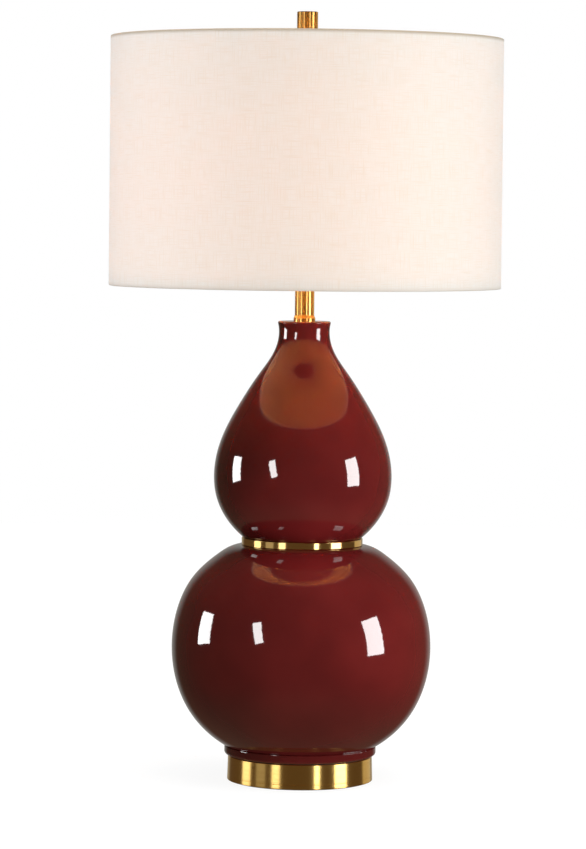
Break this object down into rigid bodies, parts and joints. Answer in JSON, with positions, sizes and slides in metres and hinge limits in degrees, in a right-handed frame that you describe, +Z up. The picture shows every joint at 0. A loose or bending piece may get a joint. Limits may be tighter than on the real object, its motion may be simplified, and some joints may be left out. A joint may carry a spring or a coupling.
{
  "type": "double gourd table lamp",
  "caption": "Table lamp with a double gourd body in oxblood glaze, brass foot, waist band, neck and finial, and a linen drum shade on a wire harp.",
  "frame": {"origin": "on the table, at the middle of the lamp's foot", "axes": "+Z up along the lamp's rod, -Y towards the viewer, where the switch knob points, +Y towards the cord outlet"},
  "size_m": [0.3939, 0.394, 0.7739],
  "materials": {
    "glaze": "gloss oxblood glaze",
    "brushed_brass": "brushed and lacquered",
    "polished_brass": "polished",
    "plated_steel": "zinc plated",
    "cast_iron": "raw casting, painted",
    "felt": "pressed felt",
    "black_rubber": "matt",
    "black_plastic": "moulded",
    "core_plastic": "moulded phenolic",
    "liner_paper": "pressed board",
    "socket_brass": "bright drawn",
    "linen": "plain weave linen",
    "shade_lining": "styrene film",
    "shade_wire": "white powder coat",
    "frosted_glass": "frosted inside",
    "bulb_glass_black": "black vitrite",
    "aluminium": "bright drawn",
    "solder": "tinned"
  },
  "bodies": {
    "lamp_stand": {"felt_pad": "felt", "base_drum": "brushed_brass", "base_weight": "cast_iron", "rod_washer": "plated_steel", "rod_lock_washer": "plated_steel", "rod_nut": "plated_steel", "foot_gasket": "black_rubber", "cord_bushing": "black_plastic", "lower_gourd": "glaze", "waist_band": "polished_brass", "upper_gourd": "glaze", "threaded_rod": "plated_steel", "neck_tube": "brushed_brass", "lower_tube_bush": "plated_steel", "upper_tube_bush": "brushed_brass", "top_locknut": "plated_steel", "harp_saddle": "polished_brass", "harp_bow": "polished_brass", "harp_stud": "polished_brass", "socket_cap": "socket_brass", "cap_set_screw": "plated_steel", "socket_shell": "socket_brass", "socket_insulator": "liner_paper", "socket_core": "core_plastic", "terminal_screws": "plated_steel", "screw_shell": "aluminium", "centre_contact": "socket_brass"},
    "left_ferrule": {"harp_ferrule_left": "polished_brass"},
    "right_ferrule": {"harp_ferrule_right": "polished_brass"},
    "switch": {"switch_stem": "socket_brass", "switch_knob": "black_plastic"},
    "bulb": {"bulb_tip": "solder", "bulb_insulator": "bulb_glass_black", "bulb_cap": "aluminium", "bulb_globe": "frosted_glass"},
    "shade": {"shade_fabric": "linen", "shade_liner": "shade_lining", "shade_bottom_ring": "shade_wire", "spider_frame": "shade_wire"},
    "finial": {"finial": "brushed_brass"}
  },
  "joints": [
    {"name": "switch_turn", "type": "hinge", "parent": "lamp_stand", "child": "switch", "pos_m": [0, -0.03, 0.5333], "axis": [0, -1, 0], "continuous": true},
    {"name": "bulb_unscrew", "type": "slide", "parent": "lamp_stand", "child": "bulb", "axis": [0, 0, 1], "range_m": [0, 0.023]},
    {"name": "left_ferrule_lift", "type": "slide", "parent": "lamp_stand", "child": "left_ferrule", "axis": [0, 0, 1], "range_m": [0, 0.014]},
    {"name": "right_ferrule_lift", "type": "slide", "parent": "lamp_stand", "child": "right_ferrule", "axis": [0, 0, 1], "range_m": [0, 0.014]},
    {"name": "shade_turn", "type": "hinge", "parent": "lamp_stand", "child": "shade", "pos_m": [0, 0, 0.7293], "axis": [0, 0, 1], "continuous": true},
    {"name": "finial_unscrew", "type": "slide", "parent": "lamp_stand", "child": "finial", "axis": [0, 0, 1], "range_m": [0, 0.015]}
  ]
}
